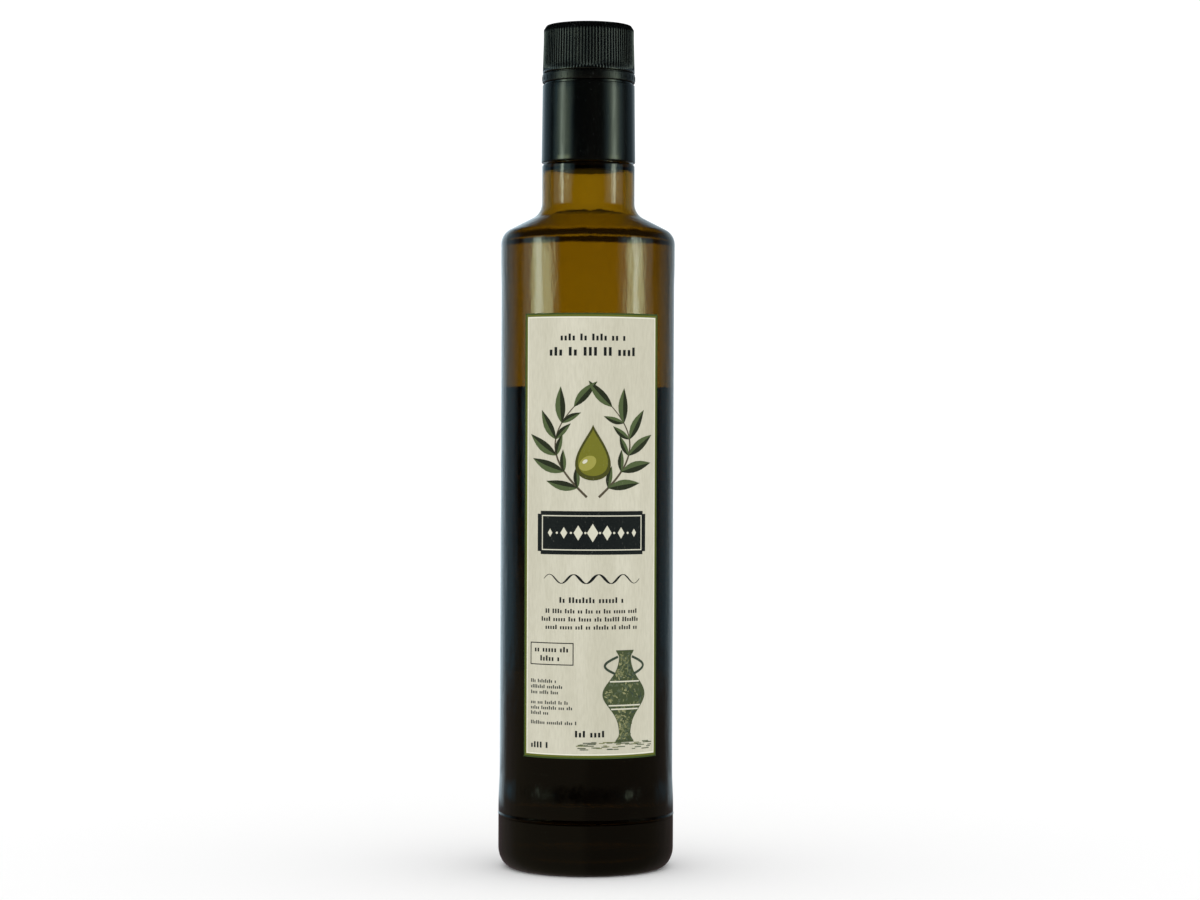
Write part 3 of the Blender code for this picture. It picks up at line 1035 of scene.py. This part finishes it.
class BOTTLE_OT_back_label(bpy.types.Operator):
    """Print and wrap the back label"""

    bl_idname = "bottle.back_label"
    bl_label = "Back Label"

    def execute(self, context):
        glass = context.scene.bottle_glass
        label = context.scene.bottle_label
        chance = random.Random(11)
        radius = paper_radius(glass, label)
        width, height = LABEL_SPAN * radius, BACK_HIGH.z - BACK_LOW.z
        paper = paper_piece("back_sheet", label, glass, BACK_MIDDLE, BACK_LOW, BACK_HIGH)
        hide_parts("back_label")
        sheet = PrintSheet()
        print_border(sheet, label, width, height)
        sheet.words(-14 * MM, 14 * MM, height - 8 * MM, 2.0 * MM, INK, chance)
        for number in range(12):
            end = 20 if number % 5 < 4 else chance.uniform(2, 12)
            v = height - 14 * MM - (number * 2.9 + number // 5 * 2.2) * MM
            sheet.words(-20 * MM, end * MM, v, 1.1 * MM, FAINT_INK, chance)
        sheet.outline(0, 24 * MM, 40 * MM, 26 * MM, 0.35 * MM, INK)
        for number in range(6):
            sheet.words(-18 * MM, -3 * MM, (33 - number * 3.6) * MM, 1.1 * MM, INK, chance)
            sheet.words(9 * MM, 18 * MM, (33 - number * 3.6) * MM, 1.1 * MM, FAINT_INK, chance)
        sheet.finish("back_print", BACK_MIDDLE, radius, BACK_LOW.z)
        return {"FINISHED"}


def stage_floor(stage):
    """A plain pale floor, which shows neither in the gloss nor through the glass."""
    shape = bmesh.new()
    bmesh.ops.create_circle(shape, cap_ends=True, segments=STAGE_STEPS, radius=STAGE_RADIUS)
    mesh = bpy.data.meshes.new("floor")
    shape.to_mesh(mesh)
    shape.free()
    material, tree, shader = new_material("pale_floor", 0.9)
    shader.inputs["Specular IOR Level"].default_value = 0.0
    shader.inputs["Base Color"].default_value = (*stage.floor, 1.0)
    mesh.materials.append(material)
    floor = bpy.data.objects.new("floor", mesh)
    floor.visible_glossy = False
    floor.visible_transmission = False
    bpy.context.scene.collection.objects.link(floor)


def joined(tree, operation, first, second):
    """The result of a sum on an output of a node and either another output or a number."""
    node = add_node(tree, "ShaderNodeMath", {"operation": operation})
    tree.links.new(first, node.inputs[0])
    if isinstance(second, bpy.types.NodeSocket):
        tree.links.new(second, node.inputs[1])
    else:
        node.inputs[1].default_value = second
    return node.outputs[0]


def mirrored_studio(tree, x, y, z):
    """What the gloss mirrors: a dark front and top, dim sides, a bright back and tall soft panels."""
    sides = mixed(tree, ranged(tree, z, -0.1, -0.07), *STUDIO_SIDES)
    front = mixed(tree, ranged(tree, z, -0.07, -0.02), *STUDIO_FRONT)
    tone = mixed(tree, ranged(tree, y, 0.15, 0.55), front, sides)
    back = mixed(tree, ranged(tree, z, -0.135, -0.105), *STUDIO_BACK)
    tone = mixed(tree, ranged(tree, y, 0.62, 0.99), tone, back)
    tone = mixed(tree, ranged(tree, x, -0.1, 0.1, 0.0, 0.45), tone, STUDIO_RIGHT)
    azimuth = joined(tree, "ARCTAN2", x, joined(tree, "MULTIPLY", y, -1.0))
    height = joined(tree, "MULTIPLY", ranged(tree, z, -0.05, 0.01), ranged(tree, z, 0.12, 0.5, 1.0, 0.0))
    for start, end, soft, colour, high in STUDIO_PANELS:
        rise = ranged(tree, azimuth, math.radians(start - soft), math.radians(start + soft))
        fall = ranged(tree, azimuth, math.radians(end - soft), math.radians(end + soft), 1.0, 0.0)
        share = joined(tree, "MULTIPLY", joined(tree, "MULTIPLY", rise, fall), height)
        share = joined(tree, "MULTIPLY", share, ranged(tree, z, 0.06, 0.1, 1.0, high))
        tone = mixed(tree, share, tone, colour)
    return mixed(tree, ranged(tree, z, 0.3, 0.6), tone, STUDIO_TOP)


def studio_backdrop(tree, y, z):
    """What shows through the glass: white behind and in front, dim sides and a dark strip low down."""
    depth = joined(tree, "MULTIPLY", y, y)
    tone = mixed(tree, ranged(tree, depth, 0.12, 0.96), BACKDROP_SIDES, BACKDROP_WHITE)
    strip = joined(tree, "MULTIPLY", ranged(tree, z, -0.08, -0.03, 1.0, 0.0), ranged(tree, z, -0.4, -0.22))
    return mixed(tree, strip, tone, BACKDROP_STRIP)


def stage_world(scene):
    """A white studio with even soft light, which the glass mirrors and shows as its own two pictures."""
    world = bpy.data.worlds.new("studio")
    world.use_nodes = True
    world.cycles.sampling_method = "NONE"
    scene.world = world
    tree = world.node_tree
    split = add_node(tree, "ShaderNodeSeparateXYZ")
    tree.links.new(add_node(tree, "ShaderNodeTexCoord").outputs["Generated"], split.inputs["Vector"])
    x, y, z = (split.outputs[axis] for axis in "XYZ")
    rays = add_node(tree, "ShaderNodeLightPath").outputs
    mirrored, through = mirrored_studio(tree, x, y, z), studio_backdrop(tree, y, z)
    tone = mixed(tree, rays["Is Transmission Ray"], mirrored, through)
    tone = mixed(tree, rays["Is Diffuse Ray"], tone, SOFT_WHITE)
    tone = mixed(tree, rays["Is Camera Ray"], tone, CAMERA_WHITE)
    tree.links.new(tone, tree.nodes["Background"].inputs["Color"])


class BOTTLE_OT_stage(bpy.types.Operator):
    """Set up the floor, the studio that lights the bottle and the camera"""

    bl_idname = "bottle.stage"
    bl_label = "Stage"

    def execute(self, context):
        scene = context.scene
        stage = scene.bottle_stage
        stage_floor(stage)
        stage_world(scene)
        data = bpy.data.cameras.new("camera")
        data.lens = stage.lens
        data.sensor_width = SENSOR_WIDTH
        camera = bpy.data.objects.new("camera", data)
        camera.location = (stage.aside, -stage.distance, stage.eye)
        camera.rotation_euler = (math.radians(90) - stage.tilt, -stage.roll, 0)
        scene.collection.objects.link(camera)
        scene.camera = camera
        scene.view_settings.view_transform = "Standard"
        return {"FINISHED"}


PIECES = (
    BOTTLE_OT_glass,
    BOTTLE_OT_oil,
    BOTTLE_OT_screw_cap,
    BOTTLE_OT_tamper_band,
    BOTTLE_OT_sleeve,
    BOTTLE_OT_front_label,
    BOTTLE_OT_back_label,
    BOTTLE_OT_stage,
)


class BOTTLE_PT_panel(bpy.types.Panel):
    """Lists the bottle's pieces in the sidebar"""

    bl_idname = "BOTTLE_PT_panel"
    bl_label = "Olive Oil Bottle"
    bl_space_type = "VIEW_3D"
    bl_region_type = "UI"
    bl_category = "Bottle"

    def draw(self, context):
        for piece in PIECES:
            self.layout.operator(piece.bl_idname)


SETTINGS = {
    "bottle_glass": GlassSettings,
    "bottle_oil": OilSettings,
    "bottle_closure": ClosureSettings,
    "bottle_label": LabelSettings,
    "bottle_stage": StageSettings,
}
CLASSES = (*SETTINGS.values(), *PIECES, BOTTLE_PT_panel)


def register():
    for cls in CLASSES:
        bpy.utils.register_class(cls)
    for name, group in SETTINGS.items():
        setattr(bpy.types.Scene, name, bpy.props.PointerProperty(type=group))


def unregister():
    for name in SETTINGS:
        delattr(bpy.types.Scene, name)
    for cls in reversed(CLASSES):
        bpy.utils.unregister_class(cls)


def main():
    register()
    for piece in PIECES:
        section, name = piece.bl_idname.split(".")
        getattr(getattr(bpy.ops, section), name)()


if __name__ == "__main__":
    main()
